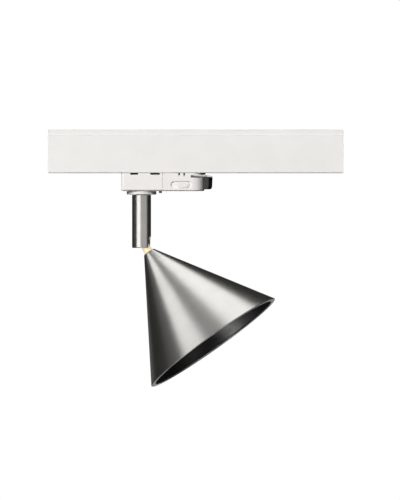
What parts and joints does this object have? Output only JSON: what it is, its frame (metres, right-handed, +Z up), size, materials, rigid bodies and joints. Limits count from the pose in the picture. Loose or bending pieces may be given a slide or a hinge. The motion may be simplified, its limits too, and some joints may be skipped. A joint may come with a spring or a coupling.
{
  "type": "track spotlight",
  "caption": "Conical spotlight that tilts and pans on a round stem, hung from a lockable adapter that slides in a length of ceiling track.",
  "frame": {"origin": "on the stem's pan axis, in the track's upper face, which lies on the ceiling", "axes": "+Z up to the ceiling, +X along the track towards the lock lever, -Y the front with the circuit selector"},
  "size_m": [0.2947, 0.15, 0.2568],
  "materials": {
    "white_powder_coat": "fine satin powder coat",
    "insulator_plastic": "matte extruded plastic",
    "copper": "drawn copper",
    "white_plastic": "fine moulded texture",
    "black_plastic": "moulded satin",
    "dark_grey_plastic": "moulded satin",
    "satin_nickel": "satin brushed, nickel plated",
    "pearl_nickel": "pearl blasted, nickel plated",
    "steel": "zinc plated",
    "brass": "turned",
    "nylon": "natural nylon",
    "opal_diffuser": "opal acrylic, lit",
    "black_satin_paint": "satin black",
    "bare_aluminium": "machined",
    "circuit_board": "solder resist",
    "led_board_white": "white solder resist on aluminium",
    "led_phosphor": "silicone over phosphor, lit",
    "mirror_reflector": "polished",
    "lens_glass": "clear glass, finely frosted",
    "lead_sheath": "matte black sheath"
  },
  "bodies": {
    "track": {"track_profile": "white_powder_coat", "front_insulator": "insulator_plastic", "rear_insulator": "insulator_plastic", "front_upper_conductor": "copper", "front_lower_conductor": "copper", "rear_upper_conductor": "copper", "rear_lower_conductor": "copper"},
    "adapter": {"left_housing": "white_plastic", "right_housing": "white_plastic", "track_insert": "black_plastic", "front_earth_spring": "brass", "rear_earth_spring": "brass", "terminal_block": "nylon", "driver_board": "circuit_board", "supply_lead": "lead_sheath", "adapter_lead": "lead_sheath", "left_front_housing_screw": "steel", "left_rear_housing_screw": "steel", "right_front_housing_screw": "steel", "right_rear_housing_screw": "steel", "threaded_nipple": "steel", "nipple_nut": "steel", "retaining_nut": "brass", "index_peg": "insulator_plastic"},
    "lock_lever": {"lock_lever": "dark_grey_plastic", "lever_shaft": "steel", "contact_rotor": "nylon", "phase_contact": "brass", "neutral_contact": "brass", "locking_cam": "steel"},
    "circuit_selector": {"circuit_selector": "white_plastic"},
    "stem": {"rosette": "pearl_nickel", "swivel_washer": "nylon", "swivel_bush": "brass", "stem_tube": "satin_nickel", "fork_insert": "steel", "fork_grub_screw": "steel", "pivot_pin": "steel", "stem_lead": "lead_sheath"},
    "head": {"hinge_knuckle": "steel", "front_friction_washer": "nylon", "rear_friction_washer": "nylon", "neck_diffuser": "opal_diffuser", "shade_shell": "satin_nickel", "shade_nut": "steel", "shade_liner": "black_satin_paint", "heat_sink": "bare_aluminium", "led_board": "led_board_white", "led_chip": "led_phosphor", "reflector": "mirror_reflector", "front_lens": "lens_glass", "retaining_ring": "black_satin_paint", "module_screw_1": "steel", "module_screw_2": "steel", "module_screw_3": "steel", "head_lead": "lead_sheath"}
  },
  "joints": [
    {"name": "adapter_slide", "type": "slide", "parent": "track", "child": "adapter", "axis": [1, 0, 0], "range_m": [-0.072, 0.128]},
    {"name": "lever_swing", "type": "hinge", "parent": "adapter", "child": "lock_lever", "pos_m": [0.0454, 0, -0.047], "axis": [0, 0, -1], "range_deg": [0, 65]},
    {"name": "selector_slide", "type": "slide", "parent": "adapter", "child": "circuit_selector", "axis": [1, 0, 0], "range_m": [-0.0058, 0.0029]},
    {"name": "stem_pan", "type": "hinge", "parent": "adapter", "child": "stem", "pos_m": [0, 0, -0.09], "axis": [0, 0, 1], "range_deg": [-159.7, 180.3]},
    {"name": "head_tilt", "type": "hinge", "parent": "stem", "child": "head", "pos_m": [0, 0, -0.1118], "axis": [-0.1788, -0.9839, 0], "range_deg": [-35.9, 44.1]}
  ]
}
